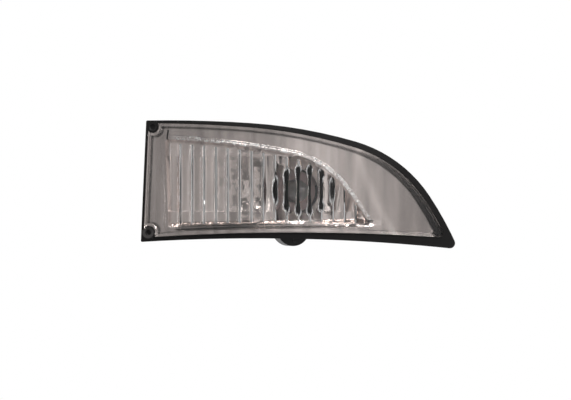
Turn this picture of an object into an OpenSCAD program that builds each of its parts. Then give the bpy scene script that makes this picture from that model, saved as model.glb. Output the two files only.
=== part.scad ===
// Door mirror indicator lamp: a clear lens with moulded flutes over a metallised
// reflector, in a black housing with a twist-in bulb holder at the back.
// Frame: X runs from the square end to the pointed tip, the lens faces -Y and Z is up.
// The origin is midway between the mouths of the two screw bosses on the back.

/* [Front outline] */
// Overall width from the square end to the tip
lamp_w = 150; // [146:0.5:154]
// Radius of the nearly flat top edge beside the square end
top_flat_r = 627; // [600:1:650]
// Radius of the sloping part of the top edge
top_slope_r = 239; // [230:1:250]
// Radius of the shoulder where the top edge turns down
shoulder_r = 64.4; // [62:0.2:67]
// Radius of the flank that runs down to the tip
flank_r = 168; // [155:1:185]
// Radius of the long bottom edge
bottom_r = 874; // [820:1:940]
// Rounding of the tip
tip_r = 2.5; // [1.5:0.1:3.5]

/* [Lens] */
// Radius of the domed front
dome_r = 200; // [195:1:206]
// Wall thickness of the lens
lens_t = 2.2; // [1.8:0.1:2.6]
// Height of the lens above the rim of the housing
lens_proud = 0.6; // [0.2:0.1:1]
// Depth at which the skirt of the lens lands on the ledge
ledge_depth = 7.5; // [7.2:0.1:8]
// Thickness of the skirt
skirt_t = 1.3; // [1.1:0.1:1.8]
// Spacing of the moulded flutes
flute_pitch = 5.66; // [5.4:0.02:5.8]
// Radius of one flute
flute_r = 3; // [2.95:0.05:3.3]
// Height of the flutes above the inside of the lens
flute_h = 2.2; // [2:0.05:2.4]

/* [Housing] */
// Width of the rim along the top edge, beside the square end
rim_top = 1.4; // [1.2:0.1:1.8]
// Angle at which that rim widens towards the tip
rim_taper = 0.85; // [0.7:0.05:1]
// Width of the rim at the square end
rim_left = 1.3; // [1.2:0.1:2]
// Gap between the lens and the rim
lens_gap = 0.15; // [0.1:0.05:0.3]
// Depth of the flange behind the rim
flange_depth = 9.5; // [9:0.1:11]
// Wall thickness of the body
wall_t = 1.8; // [1.4:0.1:2.2]
// Width of the ledge that carries the lens and the reflector
ledge_w = 2.2; // [1.8:0.1:2.6]
// Distance of the screw bosses from the middle
boss_x = 42; // [38:0.5:44]
// Outer radius of a screw boss
boss_r = 3.8; // [3.3:0.1:4.4]
// Radius of the pilot hole in a screw boss
pilot_r = 1.6; // [1.3:0.05:1.9]
// Depth of the pilot hole
pilot_depth = 7.5; // [5:0.5:7.5]
// Radius of the locating pin
pin_r = 2; // [1.6:0.1:2.4]
// Length of the locating pin beyond its boss
pin_l = 6; // [4:0.5:8]

/* [Reflector] */
// Wall thickness of the reflector
reflector_t = 1.4; // [1.1:0.1:1.5]
// Width of the stepped lip around the mouth
lip_w = 2; // [1.4:0.1:2.2]
// Height of the lip above the surround
lip_h = 1; // [0.6:0.1:1.2]
// Focal length of the bowl behind the bulb
focal = 6; // [5.6:0.1:6.5]
// Radius of the hole for the bulb
bulb_hole_r = 10.6; // [10.4:0.05:11]
// Vertical radius of the long trough
trough_r = 38; // [36:0.5:44]
// Depth of the trough below the front of the lamp
trough_depth = 15.6; // [14.5:0.1:16]

/* [Bulb holder] */
// Position of the bulb across the lamp
bulb_x = 13; // [11:0.5:15]
// Radius of the nose that enters the lamp
nose_r = 10; // [9.6:0.1:10.2]
// Radius of the flange that presses the seal
holder_flange_r = 13.8; // [13:0.1:14.4]
// Radius of the turned body behind the flange
grip_r = 10.5; // [9.8:0.1:11]
// Length of the body behind the flange
grip_l = 12; // [11:0.5:14]
// Half width of the connector arm
arm_r = 7.9; // [7.6:0.1:8.4]
// Reach of the connector arm below the bulb
arm_reach = 18.6; // [18:0.1:20.5]

/* [Hidden] */
$fn = 96;

// every outline is drawn for a lamp of this width and scaled with it
drawn_w = 150;
k = lamp_w / drawn_w;
left_x = -63.49;
left_slope = 0.0439;
top_corner = [-62.2, 30.74];
top_start = 90.84;
top_turns = [4.54, 12.25, 40.2];
bottom_centre_x = -9.83;
bottom_apex_z = -25.5;
window_bottom_r = 1008;
window_bottom_x = 8;
window_bottom_z = -22.6;

// the lip, the mouth of the reflector and the fluted patch share one outline
patch_corner = [-51.8, 23.8];
patch_left_x = -54.4;
patch_slope = -0.04;
patch_start = 87.04;
patch_radii = [442, 361, 45.5, 136];
patch_turns = [5.41, 2.78, 40.1];
patch_rise = 2.2;
patch_corners = [3.5, 2.5, 3];
flute_margin = 0.8;
flute_shift = [1.2, -1.2];

crest_x = -26;
crest_y = -40;
bulb_z = -2.9 * k;
dome_c = [crest_x * k, crest_y + dome_r, bulb_z];
bulb_yaw = asin((bulb_x - crest_x) * k / dome_r);

// the back of the body is a plane that drops towards the tip
back_slope = 0.131;
back_y = -8.5;
back_depth = dome_r - (dome_c[1] - back_y - back_slope * dome_c[0])
    / (cos(bulb_yaw) + back_slope * sin(bulb_yaw));
far = 400;
front_y = -50;
rear_y = 20;

seat_gap = 0.2;
seated_depth = ledge_depth - seat_gap;
shelf_depth = seated_depth - reflector_t;
skirt_depth = shelf_depth - seat_gap;
hole_drop = 3;
hole_depth = trough_depth + hole_drop;
step_z = -12.5 * k;
step_depth = 11;

// the port of the bulb holder, measured along the bulb axis from the front
port_stand = 2.8;
port_t = 3.4;
pad_r = holder_flange_r + 1.2;
seat_depth = back_depth + port_stand;
port_r = nose_r + 0.4;
lug_r = nose_r + 2;
lug_w = 6;
lug_t = 2;
lug_gap = 0.3;
seal_t = 2;
flange_t = 2;
flange_from = seat_depth + seal_t;
body_from = flange_from + flange_t;
nose_l = 9;
nose_depth = seat_depth - nose_l;

// the wedge-base bulb stands on the contact strips
bulb_l = 26.8;
wedge_l = 8;
wedge_w = 9.4;
wedge_t = 2.6;
wedge_gap = 0.2;
glass_r = 5;
glass_t = 0.7;
filament_drop = 5.8;
filament_r = 0.35;
lead_x = 2.3;
lead_r = 0.3;
wedge_depth = body_from + 1.4;
neck_depth = wedge_depth - wedge_l;
tip_depth = wedge_depth - bulb_l;
filament_depth = tip_depth + filament_drop;
// connector arm, its socket and the contact strips
arm_x = 2;
strip_w = 2.4;
blade_t = 0.8;
blade_x = 2.9;
blade_l = grip_l - 2.3;
blade_drop = 2.6;
socket_w = 11.4;
socket_h = 11;
socket_drop = 4.4;
socket_floor = 2.2;
grip_rib = 1.2;

edge_corners = [0.6, tip_r, 0.6];
body_corners = k * [2, 2, 2];
window_corners = k * [4, 2.2, 3.5];
least_corner = 0.5;
slot_top = [-51.3, 26.2];
slot_lean = 6;
slot_l = 4.6;
slot_w = 0.7;
pin_x = -54;
pin_z = -15;
corner_post_r = 2.7;
top_post = [-58.9, 27.6];
bottom_post = [-60.6, -22.4];
dimple_r = 1.5;
dimple_depth = 1.2;

function polar(r, a) = [r * cos(a), r * sin(a)];
function arc(c, r, from, to, n) = [for (i = [0:n]) c + polar(r, from + (to - from) * i / n)];
function angle_of(v) = atan2(v[1], v[0]);
function unit(v) = v / norm(v);

// centres of a chain of tangent arcs, each turning by its own angle
function sum_to(v, i) = i < 0 ? 0 : v[i] + sum_to(v, i - 1);
function chain_centre(p, a, radii, turns, i) = i == 0 ? p - polar(radii[0], a) :
    chain_centre(p, a, radii, turns, i - 1)
    + polar(radii[i - 1] - radii[i], a - sum_to(turns, i - 1));

// right-hand crossing of two circles
function crossing(c1, r1, c2, r2) = let (
    d = norm(c2 - c1),
    a = (r1 * r1 - r2 * r2 + d * d) / (2 * d),
    h = sqrt(r1 * r1 - a * a),
    u = (c2 - c1) / d,
    p = c1 + a * u + h * [-u[1], u[0]],
    q = c1 + a * u - h * [-u[1], u[0]]
) p[0] > q[0] ? p : q;

// crossing of a sloping end, through x0 at Z = 0, with a circle centred far below
function end_crossing(x0, slope, c, r) = let (
    b = slope * (x0 - c[0]) - c[1],
    m = 1 + slope * slope,
    z = (-b + sqrt(b * b - m * ((x0 - c[0]) * (x0 - c[0]) + c[1] * c[1] - r * r))) / m
) [x0 + slope * z, z];

// corner q between points p and s, rounded by radius r
function rounded(p, q, s, r, n) = r <= 0 ? [q] : let (
    u = unit(p - q),
    v = unit(s - q),
    half = acos(u * v) / 2,
    c = q + unit(u + v) * r / sin(half),
    from = angle_of(q + u * r / tan(half) - c),
    turn = (angle_of(q + v * r / tan(half) - c) - from + 900) % 360 - 180
) arc(c, r, from, from + turn, n);

function inner(list) = [for (i = [1:len(list) - 2]) list[i]];
function joined(lists) = [for (part = lists) for (p = part) p];

// closed outline: square end, chain of four arcs and a bottom arc, inset by d
function outline(p, a, radii, turns, d, x0, slope, bc, br, corners) = let (
    c = [for (i = [0:3]) chain_centre(p, a, radii, turns, i)],
    head = end_crossing(x0, slope, c[0], radii[0] - d),
    tip = crossing(c[3], radii[3] - d, bc, br),
    foot = end_crossing(x0, slope, bc, br),
    ends = [angle_of(head - c[0]), a - turns[0], a - turns[0] - turns[1],
        a - turns[0] - turns[1] - turns[2], angle_of(tip - c[3])],
    counts = [5, 6, 10, 4],
    top = [for (i = [0:3]) for (j = [1:counts[i]])
        if (i < 3 || j < counts[i])
            c[i] + polar(radii[i] - d, ends[i] + (ends[i + 1] - ends[i]) * j / counts[i])],
    bottom = inner(arc(bc, br, angle_of(tip - bc), angle_of(foot - bc), 16))
) joined([
    rounded(foot, head, top[0], corners[0], 6),
    top,
    rounded(top[len(top) - 1], tip, bottom[0], corners[1], 8),
    bottom,
    rounded(bottom[len(bottom) - 1], foot, head, corners[2], 6)
]);

edge_radii = k * [top_flat_r, top_slope_r, shoulder_r, flank_r];
edge_bottom = k * [bottom_centre_x, bottom_apex_z - bottom_r];
window_bottom = k * [window_bottom_x, window_bottom_z - window_bottom_r];

function edge_outline(d, corners) = outline(k * top_corner, top_start, edge_radii, top_turns,
    d, k * left_x + d, left_slope, edge_bottom, k * bottom_r + d, corners);
function window_outline(d, corners) = outline(k * top_corner, top_start - rim_taper, edge_radii,
    top_turns, rim_top + d, k * left_x + rim_left + d, left_slope,
    window_bottom, k * window_bottom_r + d, corners);
function patch_outline(d, corners) = outline(k * patch_corner, patch_start, k * patch_radii,
    patch_turns, d, k * patch_left_x + d, patch_slope,
    window_bottom, k * window_bottom_r + patch_rise + d, corners);

// 2D outlines in X and Z, pushed through the lamp along Y
module through(y0 = front_y, y1 = rear_y) {
    translate([0, y1, 0])
        rotate([90, 0, 0])
            linear_extrude(y1 - y0)
                children();
}

// everything deeper than d below the domed front
module below(d) {
    translate(dome_c)
        sphere(dome_r - d, $fn = 240);
}

// everything in front of the sloping back, moved inwards by t
module before_back(t = 0) {
    translate([0, back_y - t, 0])
        rotate([0, 0, atan(back_slope)])
            translate([-far / 2, -far, -far / 2])
                cube(far);
}

// frame on the bulb axis: +Z points out through the lens, zero is on the domed front
module at_bulb() {
    translate(dome_c)
        rotate([0, 0, bulb_yaw])
            rotate([90, 0, 0])
                translate([0, 0, dome_r])
                    children();
}

module disc(r, from, to) {
    translate([0, 0, -to])
        cylinder(r = r, h = to - from);
}

module post_holes(r) {
    translate(k * top_post)
        circle(r);
    translate(k * bottom_post)
        circle(r);
}

function shrunk(corners, d) = [for (r = corners) max(r - d, least_corner)];

module window_shape(d) {
    difference() {
        polygon(window_outline(d, shrunk(window_corners, d)));
        post_holes(corner_post_r + lens_gap + d);
    }
}

module patch_shape(d) {
    polygon(patch_outline(d, [for (r = k * patch_corners) r - d]));
}

module mouth_shape(d) {
    patch_shape(lip_w + d);
}

// the flutes stop short of the lip at the top and at the square end
module flute_shape() {
    intersection() {
        mouth_shape(flute_margin);
        translate(k * flute_shift)
            mouth_shape(flute_margin);
    }
}

module flutes() {
    ridge_c = dome_r - lens_t - flute_h + flute_r;
    step = flute_pitch / dome_r * 180 / PI;
    reach = 12;
    intersection() {
        translate(dome_c)
            rotate([0, 90, 0])
                rotate_extrude(start = -90 - reach, angle = 2 * reach, $fn = 180)
                    intersection() {
                        union() {
                            for (i = [-6:14])
                                translate(polar(ridge_c, i * step))
                                    circle(flute_r, $fn = 144);
                        }
                        difference() {
                            circle(dome_r - lens_t + 0.4, $fn = 360);
                            circle(dome_r - lens_t - flute_h - 1, $fn = 360);
                        }
                    }
        through()
            flute_shape();
    }
}

module lens() {
    color([0.9, 0.9, 0.92, 0.35]) {
        difference() {
            intersection() {
                through()
                    window_shape(0);
                below(0);
            }
            intersection() {
                through()
                    window_shape(skirt_t);
                below(lens_t);
            }
            below(skirt_depth);
        }
        flutes();
    }
}

module reflector_hollow(t) {
    intersection() {
        through()
            mouth_shape(-t);
        union() {
            difference() {
                through()
                    mouth_shape(-t - 1);
                below(step_depth + t);
            }
            intersection() {
                translate(dome_c)
                    rotate_extrude(start = -130, angle = 80, $fn = 180)
                        translate([dome_r - trough_depth + trough_r, 0])
                            circle(trough_r + t);
                translate([-far / 2, front_y, step_z - t])
                    cube([far, -front_y + rear_y, far / 4]);
            }
            bowl(t);
        }
    }
}

// bowl of revolution on the bulb axis, an arc through the hole rim and the mouth
module bowl(t) {
    vertex = hole_depth + bulb_hole_r * bulb_hole_r / (4 * focal);
    mouth_r = sqrt(4 * focal * (vertex - shelf_depth));
    a = [bulb_hole_r, -hole_depth];
    b = [mouth_r, -shelf_depth];
    arc_r = 44;
    n = unit(b - a);
    c = (a + b) / 2 + sqrt(arc_r * arc_r - norm(b - a) * norm(b - a) / 4) * [-n[1], n[0]];
    at_bulb()
        rotate_extrude()
            intersection() {
                translate(c)
                    circle(arc_r + t, $fn = 180);
                translate([0, -hole_depth - t])
                    square([mouth_r * 2, hole_depth + t - 2]);
            }
}

// lip around the mouth, in two steps
module lip() {
    for (i = [1, 2])
        difference() {
            intersection() {
                through()
                    patch_shape(lip_w * (i - 1) / 2);
                below(shelf_depth - lip_h * i / 2);
            }
            below(shelf_depth + reflector_t / 2);
        }
}

module reflector() {
    color([0.75, 0.73, 0.72])
        difference() {
            union() {
                lip();
                difference() {
                    intersection() {
                        through()
                            window_shape(0);
                        below(shelf_depth);
                    }
                    below(seated_depth);
                }
                intersection() {
                    reflector_hollow(reflector_t);
                    below(shelf_depth);
                }
            }
            reflector_hollow(0);
            at_bulb()
                disc(bulb_hole_r, 0, hole_depth + 3 * reflector_t);
            through()
                translate(k * slot_top)
                    rotate(-slot_lean)
                        translate([-slot_w, -slot_l])
                            square([slot_w, slot_l]);
        }
}

module lug_ring(r, from, to, width, turn) {
    difference() {
        for (i = [0:2])
            rotate([0, 0, turn + i * 120])
                translate([0, -width / 2, -to])
                    cube([r, width, to - from]);
        difference() {
            disc(r * 2, from - 1, to + 1);
            disc(r, from - 2, to + 2);
        }
    }
}

// screw boss with its mouth at Y = 0, and two crossed gussets at its foot
module screw_boss(x) {
    root = min(back_y + back_slope * x - wall_t / 2, -pilot_depth - wall_t);
    gusset_l = max(1, -(back_y + back_slope * x) - 2);
    translate([x, 0, 0])
        rotate([90, 0, 0])
            cylinder(r = boss_r, h = -root);
    intersection() {
        union() {
            for (turn = [0, 90])
                translate([x, back_y + back_slope * x + gusset_l / 2 - wall_t / 2, 0])
                    rotate([0, turn, 0])
                        cube([boss_r * 4, gusset_l + wall_t, wall_t], center = true);
        }
        through(back_y + back_slope * x - wall_t, 0)
            polygon(window_outline(wall_t, shrunk(body_corners, wall_t)));
    }
}

module housing() {
    pin_base = pin_l / 2;
    color([0.05, 0.05, 0.05])
        difference() {
            union() {
                shell();
                at_bulb()
                    disc(pad_r, back_depth - wall_t, seat_depth);
                screw_boss(k * boss_x);
                screw_boss(-k * boss_x);
                pillar(k * pin_x, k * pin_z, boss_r, -pin_base);
                pillar(k * pin_x, k * pin_z, pin_r, pin_base);
            }
            difference() {
                through()
                    post_holes(dimple_r);
                below(dimple_depth);
            }
            at_bulb() {
                disc(port_r, nose_depth, flange_from);
                disc(lug_r + lug_gap * 2, nose_depth, seat_depth - port_t);
                lug_ring(lug_r + lug_gap, nose_depth, flange_from, lug_w + 2 * lug_gap, 90);
            }
            for (s = [-1, 1])
                translate([s * k * boss_x, 1, 0])
                    rotate([90, 0, 0])
                        cylinder(r = pilot_r, h = pilot_depth + 1);
        }
}

// flange and body, with the pocket for the lens and the hollow behind the ledge
module shell() {
    difference() {
        union() {
            difference() {
                intersection() {
                    through()
                        polygon(edge_outline(0, edge_corners));
                    below(lens_proud);
                }
                below(flange_depth);
            }
            intersection() {
                through()
                    polygon(window_outline(0, body_corners));
                below(ledge_depth);
                before_back();
            }
        }
        difference() {
            through()
                window_shape(-lens_gap);
            below(ledge_depth);
        }
        intersection() {
            through()
                window_shape(ledge_w);
            before_back(wall_t);
        }
    }
}

// round pillar from inside the back wall out to y
module pillar(x, z, r, y) {
    root = back_y + back_slope * x - wall_t / 2;
    translate([x, y, z])
        rotate([90, 0, 0])
            cylinder(r = r, h = y - root);
}

// brass strip from the wedge of the bulb down the arm, ending as a blade in the socket
module contact(side) {
    top_x = side * lead_x;
    low_x = arm_x + side * blade_x;
    low = -arm_reach - blade_drop;
    at_bulb()
        translate([-strip_w / 2, low, -wedge_depth - blade_t]) {
            translate([top_x, 0, 0])
                cube([strip_w, strip_w / 2 - low, blade_t]);
            translate([min(top_x, low_x), 0, 0])
                cube([abs(top_x - low_x) + strip_w, strip_w, blade_t]);
            translate([low_x, 0, blade_t - blade_l])
                cube([strip_w, blade_t, blade_l]);
        }
}

module contacts() {
    contact(-1);
    contact(1);
}

module holder_arm_shape() {
    circle(grip_r);
    translate([arm_x - arm_r, -arm_reach])
        square([2 * arm_r, arm_reach]);
    translate([arm_x, -arm_reach])
        circle(arm_r);
}

module bulb_holder() {
    lug_from = seat_depth - port_t + lug_gap - lug_t - 2 * lug_gap;
    color([0.12, 0.12, 0.12])
        difference() {
            at_bulb()
                difference() {
                    union() {
                        disc(nose_r, nose_depth, body_from);
                        lug_ring(lug_r, lug_from, lug_from + lug_t, lug_w, 30);
                        disc(holder_flange_r, flange_from, body_from);
                        translate([0, 0, -body_from - grip_l])
                            linear_extrude(grip_l + 0.5)
                                holder_arm_shape();
                        translate([arm_x, -arm_reach - arm_r + 2, -body_from - grip_l + 1])
                            cube([grip_rib, arm_reach - 2, grip_l + grip_rib - 1]);
                    }
                    translate([-wedge_w / 2 - wedge_gap, -wedge_t / 2 - wedge_gap, -wedge_depth])
                        cube([wedge_w + 2 * wedge_gap, wedge_t + 2 * wedge_gap, bulb_l]);
                    disc(glass_r + 3 * wedge_gap, nose_depth - 1, neck_depth + 2 * wedge_gap);
                    translate([arm_x - socket_w / 2, -arm_reach - socket_drop, -far / 4 - wedge_depth
                        - socket_floor])
                        cube([socket_w, socket_h, far / 4]);
                }
            contacts();
        }
}

module holder_seal() {
    color([0.09, 0.09, 0.09])
        at_bulb()
            difference() {
                disc(holder_flange_r - 0.4, seat_depth, seat_depth + seal_t);
                disc(nose_r + 0.3, seat_depth - 1, seat_depth + seal_t + 1);
            }
}

module contact_left() {
    color([0.8, 0.6, 0.3])
        contact(-1);
}

module contact_right() {
    color([0.8, 0.6, 0.3])
        contact(1);
}

module bulb_glass() {
    dome_depth = tip_depth + glass_r;
    color([0.95, 0.9, 0.85, 0.35])
        at_bulb()
            difference() {
                union() {
                    disc(glass_r, dome_depth, neck_depth);
                    translate([0, 0, -dome_depth])
                        sphere(glass_r);
                    translate([-wedge_w / 2, -wedge_t / 2, -wedge_depth])
                        cube([wedge_w, wedge_t, wedge_l + 1]);
                }
                disc(glass_r - glass_t, dome_depth, neck_depth - 2);
                translate([0, 0, -dome_depth])
                    sphere(glass_r - glass_t);
                for (s = [-1, 1])
                    translate([s * lead_x, 0, 0])
                        disc(lead_r + wedge_gap, neck_depth - 3, wedge_depth + 1, $fn = 48);
            }
}

module bulb_lead(side) {
    color([0.6, 0.6, 0.62])
        at_bulb()
            translate([side * lead_x, 0, 0])
                disc(lead_r, filament_depth - filament_r, wedge_depth, $fn = 48);
}

module bulb_lead_left() {
    bulb_lead(-1);
}

module bulb_lead_right() {
    bulb_lead(1);
}

module bulb_filament() {
    l = 2 * (lead_x - lead_r);
    color([0.5, 0.5, 0.52])
        at_bulb()
            translate([-l / 2, 0, -filament_depth])
                rotate([0, 90, 0])
                    cylinder(r = filament_r, h = l, $fn = 48);
}

housing();
lens();
reflector();
bulb_holder();
holder_seal();
contact_left();
contact_right();
bulb_glass();
bulb_filament();
bulb_lead_left();
bulb_lead_right();
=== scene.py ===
import bpy
import math
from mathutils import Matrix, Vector

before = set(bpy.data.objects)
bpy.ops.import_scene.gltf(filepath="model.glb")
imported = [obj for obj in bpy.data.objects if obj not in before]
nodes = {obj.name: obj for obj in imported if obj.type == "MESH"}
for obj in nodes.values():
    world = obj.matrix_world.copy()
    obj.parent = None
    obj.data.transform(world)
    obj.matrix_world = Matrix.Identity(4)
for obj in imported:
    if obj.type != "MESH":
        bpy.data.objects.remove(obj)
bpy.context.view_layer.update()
scene = bpy.context.scene
mm = 0.001
print("frame loaded:", len(nodes), "nodes")


# ---- shader helpers

def addNode(tree, kind, place=(0, 0), **settings):
    node = tree.nodes.new(kind)
    node.location = place
    for name, value in settings.items():
        setattr(node, name, value)
    return node


def setInputs(node, **values):
    for name, value in values.items():
        node.inputs[name.replace("_", " ")].default_value = value
    return node


def newGroup(name, inputs, outputs):
    group = bpy.data.node_groups.new(name, "ShaderNodeTree")
    for label, kind, value in inputs:
        socket = group.interface.new_socket(label, in_out="INPUT", socket_type=kind)
        if value is not None:
            socket.default_value = value
    for label, kind in outputs:
        group.interface.new_socket(label, in_out="OUTPUT", socket_type=kind)
    start = addNode(group, "NodeGroupInput", (-900, 0))
    end = addNode(group, "NodeGroupOutput", (500, 0))
    return group, start, end


def placeGroup(tree, group, place, **values):
    node = addNode(tree, "ShaderNodeGroup", place)
    node.node_tree = group
    return setInputs(node, **values)


def math2(tree, how, first, second, place, clamp=False):
    node = addNode(tree, "ShaderNodeMath", place, operation=how, use_clamp=clamp)
    for slot, value in ((0, first), (1, second)):
        if isinstance(value, (int, float)):
            node.inputs[slot].default_value = value
        else:
            tree.links.new(value, node.inputs[slot])
    return node.outputs[0]


def rangeOf(tree, value, low, high, place, fromMin=0.0, fromMax=1.0):
    node = addNode(tree, "ShaderNodeMapRange", place)
    setInputs(node, From_Min=fromMin, From_Max=fromMax, To_Min=low, To_Max=high)
    tree.links.new(value, node.inputs["Value"])
    return node.outputs["Result"]


def mixFloat(tree, factor, low, high, place):
    node = addNode(tree, "ShaderNodeMix", place)
    tree.links.new(factor, node.inputs["Factor"])
    tree.links.new(low, node.inputs[2])
    tree.links.new(high, node.inputs[3])
    return node.outputs[0]


# rounded look of moulded edges, and a mask that is 1 on them
def makeEdgeGroup():
    group, start, end = newGroup("mouldedEdge", [("Radius", "NodeSocketFloat", 0.0003)],
                                 [("Normal", "NodeSocketVector"), ("Mask", "NodeSocketFloat")])
    bevel = addNode(group, "ShaderNodeBevel", (-600, 100), samples=6)
    group.links.new(start.outputs["Radius"], bevel.inputs["Radius"])
    flat = addNode(group, "ShaderNodeNewGeometry", (-600, -150))
    dot = addNode(group, "ShaderNodeVectorMath", (-350, 0), operation="DOT_PRODUCT")
    group.links.new(bevel.outputs["Normal"], dot.inputs[0])
    group.links.new(flat.outputs["Normal"], dot.inputs[1])
    mask = addNode(group, "ShaderNodeMapRange", (-100, 0), interpolation_type="SMOOTHSTEP")
    setInputs(mask, From_Min=0.995, From_Max=0.8, To_Min=0.0, To_Max=1.0)
    group.links.new(dot.outputs["Value"], mask.inputs["Value"])
    group.links.new(bevel.outputs["Normal"], end.inputs["Normal"])
    group.links.new(mask.outputs["Result"], end.inputs["Mask"])
    return group


# spark-eroded grain of the moulding tool: fine pits and slow unevenness
def makeGrainGroup():
    group, start, end = newGroup("mouldGrain", [("Scale", "NodeSocketFloat", 2500.0)],
                                 [("Height", "NodeSocketFloat"), ("Patches", "NodeSocketFloat")])
    coord = addNode(group, "ShaderNodeTexCoord", (-900, 250))
    fine = addNode(group, "ShaderNodeTexNoise", (-500, 150))
    setInputs(fine, Detail=3.0, Roughness=0.6)
    group.links.new(coord.outputs["Object"], fine.inputs["Vector"])
    group.links.new(start.outputs["Scale"], fine.inputs["Scale"])
    slow = addNode(group, "ShaderNodeTexNoise", (-500, -150))
    setInputs(slow, Scale=60.0, Detail=2.0)
    group.links.new(coord.outputs["Object"], slow.inputs["Vector"])
    group.links.new(fine.outputs["Fac"], end.inputs["Height"])
    group.links.new(slow.outputs["Fac"], end.inputs["Patches"])
    return group


# long soft ripples and thin streaks that a vacuum-metallised moulding shows
def makeRippleGroup():
    group, start, end = newGroup("metalRipple", [("Size", "NodeSocketFloat", 1.0)],
                                 [("Height", "NodeSocketFloat"), ("Tone", "NodeSocketFloat")])
    coord = addNode(group, "ShaderNodeTexCoord", (-1100, 200))
    stretch = addNode(group, "ShaderNodeMapping", (-900, 200))
    stretch.inputs["Scale"].default_value = (1.0, 0.4, 0.35)
    group.links.new(coord.outputs["Object"], stretch.inputs["Vector"])
    wide = addNode(group, "ShaderNodeTexNoise", (-600, 200))
    setInputs(wide, Scale=90.0, Detail=1.0)
    group.links.new(stretch.outputs["Vector"], wide.inputs["Vector"])
    streak = addNode(group, "ShaderNodeTexNoise", (-600, -100))
    setInputs(streak, Scale=420.0, Detail=3.0)
    group.links.new(stretch.outputs["Vector"], streak.inputs["Vector"])
    sized = math2(group, "MULTIPLY", wide.outputs["Fac"], start.outputs["Size"], (-300, 200))
    group.links.new(sized, end.inputs["Height"])
    group.links.new(streak.outputs["Fac"], end.inputs["Tone"])
    return group


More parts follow.
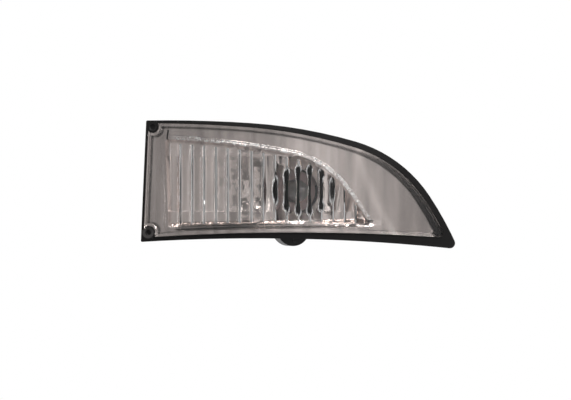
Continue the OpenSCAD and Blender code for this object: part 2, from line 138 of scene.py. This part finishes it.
# inner flutes read as shallower waves, and nearly flat in the pointed reliefs round the bulb
def makeFluteGroup():
    group, start, end = newGroup("fluteWave", [("Keep", "NodeSocketFloat", 0.8),
                                               ("Relief Keep", "NodeSocketFloat", 0.2)],
                                 [("Normal", "NodeSocketVector"), ("Root Shade", "NodeSocketFloat"),
                                  ("Skirt", "NodeSocketFloat")])
    coord = addNode(group, "ShaderNodeTexCoord", (-1700, 200))
    axis = addNode(group, "ShaderNodeVectorMath", (-1500, 200), operation="SUBTRACT")
    axis.inputs[1].default_value = fluteShape["middle"]
    group.links.new(coord.outputs["Object"], axis.inputs[0])
    across = addNode(group, "ShaderNodeVectorMath", (-900, 200), operation="CROSS_PRODUCT")
    across.inputs[1].default_value = (0, 0, 1)
    group.links.new(axis.outputs[0], across.inputs[0])
    unit = addNode(group, "ShaderNodeVectorMath", (-700, 200), operation="NORMALIZE")
    group.links.new(across.outputs[0], unit.inputs[0])
    reach = addNode(group, "ShaderNodeVectorMath", (-1300, -100), operation="LENGTH")
    group.links.new(axis.outputs[0], reach.inputs[0])
    height = math2(group, "SUBTRACT", fluteShape["inside"], reach.outputs["Value"], (-1100, -100))
    split = addNode(group, "ShaderNodeSeparateXYZ", (-1500, -300))
    group.links.new(coord.outputs["Object"], split.inputs[0])
    limit = fluteShape["reliefHeight"]
    for letter, grow in (("X", fluteShape["growX"]), ("Z", fluteShape["growZ"])):
        offset = math2(group, "SUBTRACT", split.outputs[letter], fluteShape["relief" + letter],
                       (-1300, -300))
        square = math2(group, "MULTIPLY", offset, offset, (-1150, -300))
        grown = math2(group, "MULTIPLY", square, grow, (-1000, -300))
        limit = math2(group, "ADD", grown, limit, (-850, -300))
    above = math2(group, "SUBTRACT", height, limit, (-700, -200))
    relief = rangeOf(group, above, 0.0, 1.0, (-550, -200), 0.0, 0.00004)
    nearBulb = rangeOf(group, limit, 1.0, 0.0, (-550, -500), fluteShape["flankFrom"], fluteShape["flankTo"])
    surface = addNode(group, "ShaderNodeNewGeometry", (-900, -50))
    share = addNode(group, "ShaderNodeVectorMath", (-500, 50), operation="DOT_PRODUCT")
    group.links.new(unit.outputs[0], share.inputs[0])
    group.links.new(surface.outputs["Normal"], share.inputs[1])
    # mask of the flute roots, where the lens material paints shade
    rootLow = rangeOf(group, height, 0.0, 1.0, (-900, -600), 0.00002, 0.00008)
    rootHigh = rangeOf(group, height, 1.0, 0.0, (-900, -700), fluteShape["rootHeight"] - 0.0001,
                       fluteShape["rootHeight"])
    root = math2(group, "MULTIPLY", rootLow, rootHigh, (-700, -650))
    awayFromBulb = rangeOf(group, limit, 0.0, 1.0, (-700, -750), fluteShape["flankFrom"],
                           fluteShape["flankTo"])
    root = math2(group, "MULTIPLY", root, awayFromBulb, (-550, -650))
    group.links.new(root, end.inputs["Root Shade"])
    below = rangeOf(group, height, 0.0, 1.0, (-900, -800), 0.0001, 0.0003)
    tipSide = rangeOf(group, split.outputs["X"], 0.0, 1.0, (-900, -900), 0.046, 0.05)
    group.links.new(math2(group, "MULTIPLY", below, tipSide, (-700, -850)), end.inputs["Skirt"])
    lean = share.outputs["Value"]
    plain = math2(group, "MULTIPLY", lean, start.outputs["Keep"], (-400, -50))
    flat = math2(group, "MULTIPLY", lean, start.outputs["Relief Keep"], (-400, -150))
    side = math2(group, "SIGN", lean, 0.0, (-400, -250))
    steep = math2(group, "MULTIPLY_ADD", lean, fluteShape["flankKeep"], (-300, -350))
    group.links.new(math2(group, "MULTIPLY", side, fluteShape["flankLean"], (-400, -350)),
                    steep.node.inputs[2])
    wanted = mixFloat(group, nearBulb, plain, steep, (-200, -250))
    wanted = mixFloat(group, relief, wanted, flat, (-100, -250))
    atRoot = math2(group, "MULTIPLY", lean, fluteShape["rootKeep"], (-200, -400))
    wanted = mixFloat(group, root, wanted, atRoot, (-80, -350))
    less = math2(group, "SUBTRACT", lean, wanted, (-50, -50))
    part = addNode(group, "ShaderNodeVectorMath", (0, 100), operation="SCALE")
    group.links.new(unit.outputs[0], part.inputs[0])
    group.links.new(less, part.inputs["Scale"])
    rest = addNode(group, "ShaderNodeVectorMath", (150, 0), operation="SUBTRACT")
    group.links.new(surface.outputs["Normal"], rest.inputs[0])
    group.links.new(part.outputs[0], rest.inputs[1])
    final = addNode(group, "ShaderNodeVectorMath", (300, 0), operation="NORMALIZE")
    group.links.new(rest.outputs[0], final.inputs[0])
    group.links.new(final.outputs[0], end.inputs["Normal"])
    return group


# marks in the reflector: groove under the mouth with a mask for painted shade along it, hammered bowl, trough, soft
# stripes, blotches, a mask for a painted lip highlight and a band for a painted reflection
def makeMarksGroup():
    group, start, end = newGroup("reflectorMarks", [("Groove", "NodeSocketFloat", 0.6),
                                                    ("Hammer", "NodeSocketFloat", 0.08)],
                                 [("Height", "NodeSocketFloat"), ("Dark", "NodeSocketFloat"),
                                  ("Deep", "NodeSocketFloat"), ("Stripes", "NodeSocketFloat"),
                                  ("Blotches", "NodeSocketFloat"), ("Lip Highlight", "NodeSocketFloat"),
                                  ("Painted Reflection", "NodeSocketFloat")])
    coord = addNode(group, "ShaderNodeTexCoord", (-1700, 200))
    split = addNode(group, "ShaderNodeSeparateXYZ", (-1500, 200))
    group.links.new(coord.outputs["Object"], split.inputs[0])
    alongX, upZ = split.outputs["X"], split.outputs["Z"]

    def hill(value, middle, slope, width, place):
        line = math2(group, "MULTIPLY", alongX, slope, place)
        line = math2(group, "ADD", line, middle, place)
        away = math2(group, "SUBTRACT", value, line, place)
        away = math2(group, "DIVIDE", away, width, place)
        square = math2(group, "MULTIPLY", away, away, place)
        falling = math2(group, "MULTIPLY", square, -1.0, place)
        return math2(group, "EXPONENT", falling, 0.0, place)

    def between(low, high, soft, place):
        rise = rangeOf(group, alongX, 0.0, 1.0, place, low, low + soft)
        fall = rangeOf(group, alongX, 1.0, 0.0, place, high - soft, high)
        return math2(group, "MULTIPLY", rise, fall, place)

    marks = reflectorMarks
    groove = math2(group, "MULTIPLY", hill(upZ, marks["grooveZ"], marks["grooveSlope"],
                                           marks["grooveWidth"], (-1200, 300)),
                   between(-0.051, 0.05, 0.006, (-1200, 100)), (-900, 300))
    # painted shade: a dark line along the groove under the mouth, on its left part
    paintedGrooveShade = math2(group, "MULTIPLY", groove, between(-0.051, -0.009, 0.005, (-1200, 0)), (-700, 200))
    fromMiddle = addNode(group, "ShaderNodeVectorMath", (-1500, -700), operation="DISTANCE")
    fromMiddle.inputs[1].default_value = fluteShape["middle"]
    group.links.new(coord.outputs["Object"], fromMiddle.inputs[0])
    deep = rangeOf(group, fromMiddle.outputs["Value"], 1.0, 0.0, (-1300, -700), 0.1905, 0.1915)
    # painted highlight: a thin band at the lip's depth, broken into specks
    lip = rangeOf(group, fromMiddle.outputs["Value"], 0.0, 1.0, (-1300, -800), 0.1941, 0.1943)
    lip = math2(group, "MULTIPLY", lip, rangeOf(group, alongX, 0.0, 1.0, (-1300, -900), -0.052, -0.049),
                (-1100, -850))
    lip = math2(group, "MULTIPLY", lip, rangeOf(group, upZ, 0.0, 1.0, (-1300, -1000), -0.0172, -0.0162),
                (-950, -850))
    specks = addNode(group, "ShaderNodeTexNoise", (-1300, -1100))
    setInputs(specks, Scale=marks["speckScale"], Detail=2.0)
    group.links.new(coord.outputs["Object"], specks.inputs["Vector"])
    speckle = rangeOf(group, specks.outputs["Fac"], marks["lipShare"], 1.0, (-1100, -1050), 0.5, 0.6)
    lip = math2(group, "MULTIPLY", lip, speckle, (-800, -850))
    group.links.new(lip, end.inputs["Lip Highlight"])
    reach = 0.0
    for letter, middle in (("X", marks["bowl"][0]), ("Z", marks["bowl"][1])):
        offset = math2(group, "SUBTRACT", split.outputs[letter], middle, (-1200, -400))
        square = math2(group, "MULTIPLY", offset, offset, (-1000, -400))
        reach = math2(group, "ADD", square, reach, (-800, -400))
    reach = math2(group, "SQRT", reach, 0.0, (-600, -400))
    nearBowl = rangeOf(group, reach, 1.0, 0.0, (-450, -400), marks["hammerFrom"], marks["hammerTo"])
    nearBowl = math2(group, "MULTIPLY", nearBowl, deep, (-350, -400))
    outside = rangeOf(group, alongX, 1.0, 0.0, (-450, -500), -0.009, -0.004)
    nearBowl = math2(group, "MULTIPLY", nearBowl, outside, (-250, -450))
    dents = addNode(group, "ShaderNodeTexNoise", (-600, -600))
    setInputs(dents, Scale=marks["hammerScale"], Detail=1.0)
    group.links.new(coord.outputs["Object"], dents.inputs["Vector"])
    hammer = math2(group, "MULTIPLY", dents.outputs["Fac"], nearBowl, (-300, -500))
    hammer = math2(group, "MULTIPLY", hammer, start.outputs["Hammer"], (-150, -500))
    sunk = math2(group, "MULTIPLY", groove, start.outputs["Groove"], (-500, 400))
    height = math2(group, "SUBTRACT", hammer, sunk, (100, 200))
    spread = addNode(group, "ShaderNodeMapping", (-900, -1000))
    spread.inputs["Scale"].default_value = (0.16, 0.0, 0.09)
    group.links.new(coord.outputs["Object"], spread.inputs["Vector"])
    blotch = addNode(group, "ShaderNodeTexNoise", (-600, -1000))
    setInputs(blotch, Scale=marks["blotchScale"], Detail=3.0)
    group.links.new(spread.outputs["Vector"], blotch.inputs["Vector"])
    blotches = rangeOf(group, blotch.outputs["Fac"], 1.0, 0.0, (-400, -1000), 0.44, 0.52)
    blotches = math2(group, "MULTIPLY", blotches, nearBowl, (-200, -1000))
    stretch = addNode(group, "ShaderNodeMapping", (-900, -800))
    stretch.inputs["Scale"].default_value = (1.0, 0.0, 0.06)
    group.links.new(coord.outputs["Object"], stretch.inputs["Vector"])
    stripes = addNode(group, "ShaderNodeTexNoise", (-600, -800))
    setInputs(stripes, Scale=marks["stripeScale"], Detail=2.0)
    group.links.new(stretch.outputs["Vector"], stripes.inputs["Vector"])
    group.links.new(height, end.inputs["Height"])
    group.links.new(paintedGrooveShade, end.inputs["Dark"])
    group.links.new(deep, end.inputs["Deep"])
    # painted reflection: a soft paler band curving across the flat surround of the reflector
    drop = math2(group, "SUBTRACT", marks["paintedReflectionFrom"][1], upZ, (-1300, 500))
    line = math2(group, "MULTIPLY", drop, marks["paintedReflectionBend"], (-1150, 500))
    line = math2(group, "ADD", line, marks["paintedReflectionSlope"], (-1000, 500))
    line = math2(group, "MULTIPLY", line, drop, (-850, 500))
    away = math2(group, "SUBTRACT", alongX, line, (-700, 500))
    group.links.new(hill(away, marks["paintedReflectionFrom"][0], 0.0, marks["paintedReflectionWidth"], (-550, 500)),
                    end.inputs["Painted Reflection"])
    group.links.new(blotches, end.inputs["Blotches"])
    group.links.new(stripes.outputs["Fac"], end.inputs["Stripes"])
    return group


postSpot = {"x": -0.0612, "z": -0.0227, "outer": 0.0029, "inner": 0.0012, "front": -0.026}


# painted light: a paler ring on the end of the lower screw post
def makePostGroup():
    group, start, end = newGroup("paintedPostLight", [], [("Mask", "NodeSocketFloat")])
    coord = addNode(group, "ShaderNodeTexCoord", (-900, 0))
    split = addNode(group, "ShaderNodeSeparateXYZ", (-700, 0))
    group.links.new(coord.outputs["Object"], split.inputs[0])
    reach = 0.0
    for letter, middle in (("X", postSpot["x"]), ("Z", postSpot["z"])):
        offset = math2(group, "SUBTRACT", split.outputs[letter], middle, (-500, 0))
        square = math2(group, "MULTIPLY", offset, offset, (-350, 0))
        reach = math2(group, "ADD", square, reach, (-200, 0))
    reach = math2(group, "SQRT", reach, 0.0, (-50, 0))
    inside = rangeOf(group, reach, 1.0, 0.0, (100, 100), postSpot["outer"] - 0.0002, postSpot["outer"])
    hole = rangeOf(group, reach, 0.0, 1.0, (100, -100), postSpot["inner"], postSpot["inner"] + 0.0003)
    mask = math2(group, "MULTIPLY", inside, hole, (300, 0))
    front = math2(group, "LESS_THAN", split.outputs["Y"], postSpot["front"], (100, -300))
    group.links.new(math2(group, "MULTIPLY", mask, front, (400, -100)), end.inputs["Mask"])
    return group


fluteShape = {"middle": (-0.026, 0.16, -0.0029), "inside": 0.1978, "reliefHeight": 0.00134,
              "reliefX": 0.0125, "growX": 4.3, "reliefZ": -0.0026, "growZ": 7.35,
              "flankFrom": 0.0021, "flankTo": 0.0025, "flankLean": 0.0, "flankKeep": 2.4,
              "rootHeight": 0.0008, "rootKeep": 0.45}
# among these are the curve and width of a painted reflection band on the reflector
reflectorMarks = {"grooveZ": -0.0192, "grooveSlope": 0.0222, "grooveWidth": 0.0013, "bowl": (0.009, -0.0029),
                 
                  "hammerFrom": 0.024, "hammerTo": 0.04, "hammerScale": 800.0, "speckScale": 420.0, "paintedReflectionFrom": (0.0416, 0.0062),
                  "paintedReflectionSlope": 0.313, "paintedReflectionBend": 6.17, "paintedReflectionWidth": 0.0022, "lipShare": 0.25, "blotchScale": 1900.0,
                  "stripeScale": 150.0}
mouldedEdge = makeEdgeGroup()
fluteWave = makeFluteGroup()
marksGroup = makeMarksGroup()
paintedPostLight = makePostGroup()
mouldGrain = makeGrainGroup()
metalRipple = makeRippleGroup()
print("node groups made")


def newMaterial(name, **values):
    mat = bpy.data.materials.new(name)
    mat.use_nodes = True
    tree = mat.node_tree
    shader = tree.nodes["Principled BSDF"]
    for label, value in values.items():
        shader.inputs[label.replace("_", " ")].default_value = value
    return mat, tree, shader


def colourBetween(tree, factor, low, high, place):
    mix = addNode(tree, "ShaderNodeMix", place, data_type="RGBA")
    mix.inputs[6].default_value = (*low, 1)
    mix.inputs[7].default_value = (*high, 1)
    tree.links.new(factor, mix.inputs["Factor"])
    return mix.outputs[2]


# moulded plastic or rubber: grain bump, uneven gloss, paler edges, and painted light on the post end and on the
# holder's nose where the look asks for it
def mouldedMaterial(name, look):
    mat, tree, shader = newMaterial(name, Specular_IOR_Level=look["specular"])
    edge = placeGroup(tree, mouldedEdge, (-900, 200), Radius=look["edgeRadius"])
    grain = placeGroup(tree, mouldGrain, (-900, -100), Scale=look["grainScale"])
    paleEdgeAndPostLightMask = math2(tree, "MULTIPLY", edge.outputs["Mask"], look["edgePaling"], (-650, 200))
    # painted light on the end of the lower screw post
    if "posts" in look:
        postLight = placeGroup(tree, paintedPostLight, (-900, 450))
        paleEdgeAndPostLightMask = math2(tree, "MAXIMUM", paleEdgeAndPostLightMask, postLight.outputs["Mask"], (-550, 300))
    tone = colourBetween(tree, paleEdgeAndPostLightMask, look["colour"], look["edgeColour"], (-400, 300))
    # painted light: the holder's nose is given a paler tone than the rest of the holder
    if "paintedNoseLight" in look:
        coord = addNode(tree, "ShaderNodeTexCoord", (-900, 700))
        split = addNode(tree, "ShaderNodeSeparateXYZ", (-750, 700))
        tree.links.new(coord.outputs["Object"], split.inputs[0])
        nose = rangeOf(tree, split.outputs["Y"], 1.0, 0.0, (-550, 700), *look["paintedNoseSpan"])
        paintedNoseMix = addNode(tree, "ShaderNodeMix", (-250, 450), data_type="RGBA")
        paintedNoseMix.inputs[7].default_value = (*look["paintedNoseLight"], 1)
        tree.links.new(nose, paintedNoseMix.inputs["Factor"])
        tree.links.new(tone, paintedNoseMix.inputs[6])
        tone = paintedNoseMix.outputs[2]
    tree.links.new(tone, shader.inputs["Base Color"])
    gloss = rangeOf(tree, grain.outputs["Patches"], look["rough"] - look["roughSpread"],
                    look["rough"] + look["roughSpread"], (-400, 0), 0.3, 0.7)
    tree.links.new(gloss, shader.inputs["Roughness"])
    bump = addNode(tree, "ShaderNodeBump", (-250, -200))
    setInputs(bump, Strength=look["grainDepth"], Distance=0.0001)
    tree.links.new(grain.outputs["Height"], bump.inputs["Height"])
    tree.links.new(edge.outputs["Normal"], bump.inputs["Normal"])
    tree.links.new(bump.outputs["Normal"], shader.inputs["Normal"])
    return mat


def metalMaterial(name, look):
    mat, tree, shader = newMaterial(name, Metallic=1.0)
    edge = placeGroup(tree, mouldedEdge, (-900, 200), Radius=look["edgeRadius"])
    ripple = placeGroup(tree, metalRipple, (-900, -100), Size=1.0)
    tone = colourBetween(tree, ripple.outputs["Tone"], look["colour"], look["lightColour"],
                         (-400, 300))
    tree.links.new(tone, shader.inputs["Base Color"])
    gloss = rangeOf(tree, ripple.outputs["Tone"], look["rough"] - look["roughSpread"],
                    look["rough"] + look["roughSpread"], (-400, 0), 0.3, 0.7)
    tree.links.new(gloss, shader.inputs["Roughness"])
    bump = addNode(tree, "ShaderNodeBump", (-250, -200))
    setInputs(bump, Strength=look["rippleDepth"], Distance=0.001)
    tree.links.new(ripple.outputs["Height"], bump.inputs["Height"])
    tree.links.new(edge.outputs["Normal"], bump.inputs["Normal"])
    tree.links.new(bump.outputs["Normal"], shader.inputs["Normal"])
    return mat


# vacuum-metallised moulding: as metal, with the reflector's marks over it, including painted shade along the groove,
# painted light in the trough, a painted reflection band and a painted highlight on the lip
def reflectorMaterial(name, look):
    mat = metalMaterial(name, look)
    tree = mat.node_tree
    shader = tree.nodes["Principled BSDF"]
    marks = placeGroup(tree, marksGroup, (-900, -500), Groove=look["groove"], Hammer=look["hammer"])
    tone = shader.inputs["Base Color"].links[0].from_socket
    shade = rangeOf(tree, marks.outputs["Stripes"], 1.0 - look["stripes"], 1.0, (-600, -500), 0.35, 0.65)
    # painted shade: the metal colour darkened along the groove under the mouth
    grooveShadeFactor = math2(tree, "MULTIPLY", marks.outputs["Dark"], look["grooveShade"], (-600, -650))
    grooveShadeFactor = math2(tree, "SUBTRACT", 1.0, grooveShadeFactor, (-450, -650))
    shade = math2(tree, "MULTIPLY", shade, grooveShadeFactor, (-300, -550))
    # painted light: the trough's metal colour is made lighter
    troughLight = rangeOf(tree, marks.outputs["Deep"], 1.0, look["paintedTroughLight"], (-450, -400))
    shade = math2(tree, "MULTIPLY", shade, troughLight, (-250, -450))
    # painted reflection: the band lightens the metal colour
    paintedReflection = rangeOf(tree, marks.outputs["Painted Reflection"], 1.0, look["paintedReflection"], (-450, -250))
    shade = math2(tree, "MULTIPLY", shade, paintedReflection, (-200, -300))
    dull = math2(tree, "MULTIPLY", marks.outputs["Blotches"], look["blotchDark"], (-600, -800))
    dull = math2(tree, "SUBTRACT", 1.0, dull, (-450, -800))
    shade = math2(tree, "MULTIPLY", shade, dull, (-200, -650))
    shaded = addNode(tree, "ShaderNodeMix", (-150, 350), data_type="RGBA", blend_type="MULTIPLY")
    shaded.inputs["Factor"].default_value = 1.0
    tree.links.new(tone, shaded.inputs[6])
    tree.links.new(shade, shaded.inputs[7])
    # painted highlight: the lip's colour is mixed toward white, and made more matt
    white = addNode(tree, "ShaderNodeMix", (0, 350), data_type="RGBA")
    white.inputs[7].default_value = (0.98, 0.97, 0.96, 1)
    tree.links.new(marks.outputs["Lip Highlight"], white.inputs["Factor"])
    tree.links.new(shaded.outputs[2], white.inputs[6])
    tree.links.new(white.outputs[2], shader.inputs["Base Color"])
    gloss = shader.inputs["Roughness"].links[0].from_socket
    matt = math2(tree, "MULTIPLY", marks.outputs["Lip Highlight"], look["lipRough"], (-150, 100))
    tree.links.new(math2(tree, "ADD", gloss, matt, (0, 100)), shader.inputs["Roughness"])
    relief = addNode(tree, "ShaderNodeBump", (0, -300))
    setInputs(relief, Strength=1.0, Distance=0.001)
    tree.links.new(marks.outputs["Height"], relief.inputs["Height"])
    tree.links.new(shader.inputs["Normal"].links[0].from_socket, relief.inputs["Normal"])
    tree.links.new(relief.outputs["Normal"], shader.inputs["Normal"])
    return mat


def clearMaterial(name, look):
    mat, tree, shader = newMaterial(name, Transmission_Weight=1.0, IOR=look["ior"])
    grain = placeGroup(tree, mouldGrain, (-900, -100), Scale=look["hazeScale"])
    tone = colourBetween(tree, grain.outputs["Patches"], look["colour"], look["lightColour"],
                         (-400, 300))
    tree.links.new(tone, shader.inputs["Base Color"])
    gloss = rangeOf(tree, grain.outputs["Patches"], look["rough"], look["rough"] + look["roughSpread"],
                    (-400, 0), 0.35, 0.7)
    tree.links.new(gloss, shader.inputs["Roughness"])
    if "fluteKeep" in look:
        wave = placeGroup(tree, fluteWave, (-400, -250), Keep=look["fluteKeep"],
                          Relief_Keep=look["reliefKeep"])
        tree.links.new(wave.outputs["Normal"], shader.inputs["Normal"])
        # painted shade: the lens tint darkened along the flute roots
        shade = addNode(tree, "ShaderNodeMix", (-200, 300), data_type="RGBA")
        shade.inputs[7].default_value = (*look["paintedRootShade"], 1)
        tree.links.new(wave.outputs["Root Shade"], shade.inputs["Factor"])
        tree.links.new(tone, shade.inputs[6])
        tree.links.new(shade.outputs[2], shader.inputs["Base Color"])
        frost = math2(tree, "MULTIPLY", wave.outputs["Skirt"], look["skirtRough"], (-300, -100))
        tree.links.new(math2(tree, "ADD", gloss, frost, (-150, -50)), shader.inputs["Roughness"])
    return mat


def paint(node, mat):
    mesh = nodes[node].data
    mesh.materials.clear()
    mesh.materials.append(mat)


housingLook = {"colour": (0.006, 0.0055, 0.0055), "edgeColour": (0.05, 0.047, 0.046), "edgePaling": 0.8, "posts": 1,
               "rough": 0.42, "roughSpread": 0.06, "specular": 0.15, "edgeRadius": 0.0004,
               "grainScale": 2600.0, "grainDepth": 0.25}
# the holder's nose colour here is painted light
holderLook = {"colour": (0.022, 0.021, 0.021), "edgeColour": (0.05, 0.05, 0.05), "edgePaling": 0.6,
              "paintedNoseLight": (0.34, 0.25, 0.24), "paintedNoseSpan": (-0.008, -0.005),
              "rough": 0.5, "roughSpread": 0.06, "specular": 0.4, "edgeRadius": 0.0003,
              "grainScale": 3200.0, "grainDepth": 0.2}
sealLook = {"colour": (0.012, 0.012, 0.012), "edgeColour": (0.03, 0.03, 0.03), "edgePaling": 0.5,
            "rough": 0.78, "roughSpread": 0.05, "specular": 0.3, "edgeRadius": 0.0004,
            "grainScale": 1800.0, "grainDepth": 0.4}
# the reflector's look holds painted shade along the groove, painted light in the trough, a painted reflection band and
# a painted highlight on the lip
reflectorLook = {"colour": (0.78, 0.705, 0.675), "lightColour": (0.84, 0.77, 0.74), "rough": 0.14,
                 "roughSpread": 0.02, "edgeRadius": 0.0003, "rippleDepth": 0.04, "groove": 1.3,
                 "hammer": 0.45, "stripes": 0.3, "grooveShade": 0.45, "lipRough": 0.2, "blotchDark": 0.7,
                 "paintedTroughLight": 1.24, "paintedReflection": 1.3}
brassLook = {"colour": (0.62, 0.47, 0.22), "lightColour": (0.75, 0.6, 0.32), "rough": 0.3,
             "roughSpread": 0.08, "edgeRadius": 0.0001, "rippleDepth": 0.1}
wireLook = {"colour": (0.42, 0.42, 0.43), "lightColour": (0.55, 0.55, 0.56), "rough": 0.28,
            "roughSpread": 0.08, "edgeRadius": 0.00005, "rippleDepth": 0.05}
# the lens's root colour is painted shade along the flute roots
lensLook = {"colour": (0.96, 0.945, 0.94), "lightColour": (0.98, 0.97, 0.965), "ior": 1.49,
            "hazeScale": 900.0, "rough": 0.0, "roughSpread": 0.02, "fluteKeep": 0.8, "reliefKeep": 0.0,
            "paintedRootShade": (0.4, 0.37, 0.36), "skirtRough": 0.25}
bulbLook = {"colour": (0.97, 0.97, 0.965), "lightColour": (0.99, 0.99, 0.985), "ior": 1.5,
            "hazeScale": 900.0, "rough": 0.5, "roughSpread": 0.05}

paint("housing", mouldedMaterial("housingPlastic", housingLook))
paint("bulb_holder", mouldedMaterial("holderPlastic", holderLook))
paint("holder_seal", mouldedMaterial("sealRubber", sealLook))
paint("reflector", reflectorMaterial("metallisedSilver", reflectorLook))
brass = metalMaterial("contactBrass", brassLook)
for name in ("contact_left", "contact_right"):
    paint(name, brass)
wire = metalMaterial("leadWire", wireLook)
for name in ("bulb_filament", "bulb_lead_left", "bulb_lead_right"):
    paint(name, wire)
paint("lens", clearMaterial("lensClear", lensLook))
paint("bulb_glass", clearMaterial("bulbGlass", bulbLook))
print("materials placed")


# ---- camera: square on to the lens from far off
cameraSetup = {"lens": 400.0, "distance": 3.024, "middleX": 0.0043, "middleZ": -0.0072,
               "frontY": -0.035}
camData = bpy.data.cameras.new("camera")
camData.lens = cameraSetup["lens"]
camData.sensor_width = 36
camData.clip_start = 0.1
camData.clip_end = 60
cam = bpy.data.objects.new("camera", camData)
scene.collection.objects.link(cam)
cam.location = (cameraSetup["middleX"], cameraSetup["frontY"] - cameraSetup["distance"],
                cameraSetup["middleZ"])
cam.rotation_euler = (math.pi / 2, 0, 0)
scene.camera = cam

# ---- world: white behind the lamp, a greyer room on the camera's side, by degrees to the right
roomLook = {"back": 1.0, "front": ((-90, 0.8), (-65, 0.6), (-50, 0.55), (-35, 0.58), (-25, 0.44), (-19, 0.34), (-10, 0.33),
                                   (5, 0.36), (14, 0.46), (22, 0.6), (28, 0.7), (36, 0.58), (43, 0.54),
                                   (50, 0.44), (57, 0.36), (63, 0.36), (72, 0.6), (90, 0.6))}
world = bpy.data.worlds.new("studio")
scene.world = world
world.use_nodes = True
roomTree = world.node_tree
background = roomTree.nodes["Background"]
coord = addNode(roomTree, "ShaderNodeTexCoord", (-1000, 0))
split = addNode(roomTree, "ShaderNodeSeparateXYZ", (-800, 0))
roomTree.links.new(coord.outputs["Generated"], split.inputs[0])
backShare = rangeOf(roomTree, split.outputs["Y"], 0.0, 1.0, (-600, 100), 0.1, 0.6)
across = rangeOf(roomTree, split.outputs["X"], 0.0, 1.0, (-600, -150), -1.0, 1.0)
frontCurve = addNode(roomTree, "ShaderNodeFloatCurve", (-400, -150))
points = frontCurve.mapping.curves[0].points
for turn, value in roomLook["front"][1:-1]:
    points.new((math.sin(math.radians(turn)) + 1) / 2, value)
points[0].location = (0.0, roomLook["front"][0][1])
points[len(points) - 1].location = (1.0, roomLook["front"][-1][1])
frontCurve.mapping.update()
roomTree.links.new(across, frontCurve.inputs["Value"])
levelMix = addNode(roomTree, "ShaderNodeMix", (-100, 0))
levelMix.inputs[3].default_value = roomLook["back"]
roomTree.links.new(backShare, levelMix.inputs["Factor"])
roomTree.links.new(frontCurve.outputs[0], levelMix.inputs[2])
level = levelMix.outputs[0]
path = addNode(roomTree, "ShaderNodeLightPath", (-600, 350))
shown = addNode(roomTree, "ShaderNodeMix", (100, 100))
shown.inputs[3].default_value = 1.0
roomTree.links.new(path.outputs["Is Camera Ray"], shown.inputs["Factor"])
roomTree.links.new(level, shown.inputs[2])
roomTree.links.new(shown.outputs[0], background.inputs["Strength"])
background.inputs["Color"].default_value = (1, 1, 1, 1)

# ---- floor: white to the camera, metal and glass, with the lamp's soft shadow kept on it
floorLook = {"from": (-0.4, -0.03), "to": (0.4, 0.6), "height": -0.125, "colour": 0.82, "shadowShare": 0.35, "glow": 0.75}
(leftX, frontY), (rightX, backY) = floorLook["from"], floorLook["to"]
floorMesh = bpy.data.meshes.new("floor")
floorMesh.from_pydata([(x, y, floorLook["height"]) for x, y in
                       ((leftX, frontY), (rightX, frontY), (rightX, backY), (leftX, backY))],
                      [], [(0, 1, 2, 3)])
floor = bpy.data.objects.new("floor", floorMesh)
scene.collection.objects.link(floor)
floorMat, floorTree, floorShader = newMaterial("paleFloor", Roughness=0.8)
floorShader.inputs["Base Color"].default_value = (floorLook["colour"],) * 3 + (1,)
shadowCatch = addNode(floorTree, "ShaderNodeBsdfDiffuse", (-100, -200))
shadowCatch.inputs["Color"].default_value = (floorLook["shadowShare"],) * 3 + (1,)
glow = addNode(floorTree, "ShaderNodeEmission", (-100, -350))
glow.inputs["Strength"].default_value = floorLook["glow"]
both = addNode(floorTree, "ShaderNodeAddShader", (100, -250))
floorTree.links.new(shadowCatch.outputs[0], both.inputs[0])
floorTree.links.new(glow.outputs[0], both.inputs[1])
floorPath = addNode(floorTree, "ShaderNodeLightPath", (-500, 300))
seen = math2(floorTree, "ADD", floorPath.outputs["Is Camera Ray"],
             floorPath.outputs["Is Glossy Ray"], (-250, 300), True)
seen = math2(floorTree, "ADD", seen, floorPath.outputs["Is Transmission Ray"], (-50, 300), True)
pick = addNode(floorTree, "ShaderNodeMixShader", (300, 0))
floorTree.links.new(seen, pick.inputs["Fac"])
floorTree.links.new(floorShader.outputs[0], pick.inputs[1])
floorTree.links.new(both.outputs[0], pick.inputs[2])
floorTree.links.new(pick.outputs[0], floorTree.nodes["Material Output"].inputs["Surface"])
floorMesh.materials.append(floorMat)


# ---- soft lights
def softLight(name, setup):
    data = bpy.data.lights.new(name, "AREA")
    data.shape = "RECTANGLE"
    data.size, data.size_y = setup["size"]
    data.energy = setup["power"]
    light = bpy.data.objects.new(name, data)
    scene.collection.objects.link(light)
    light.location = setup["place"]
    light.rotation_euler = (-Vector(setup["place"])).to_track_quat("-Z", "Y").to_euler()
    return light


softLight("keyTop", {"place": (0.0, -0.15, 1.1), "size": (1.4, 1.0), "power": 4})
softLight("windowNear", {"place": (0.154, -0.756, 0.919), "size": (0.18, 0.45), "power": 6})
softLight("windowRight", {"place": (0.47, -0.612, 0.919), "size": (0.28, 0.45), "power": 8})
softLight("flankRight", {"place": (0.797, -0.41, 0.797), "size": (0.3, 0.3), "power": 8})
softLight("stripLeft", {"place": (-1.0, -0.25, 0.1), "size": (0.2, 0.8), "power": 4})
softLight("stripRight", {"place": (1.0, -0.2, 0.5), "size": (0.25, 0.6), "power": 2})
print("camera, room, floor and lights placed")

scene.view_settings.view_transform = "Standard"
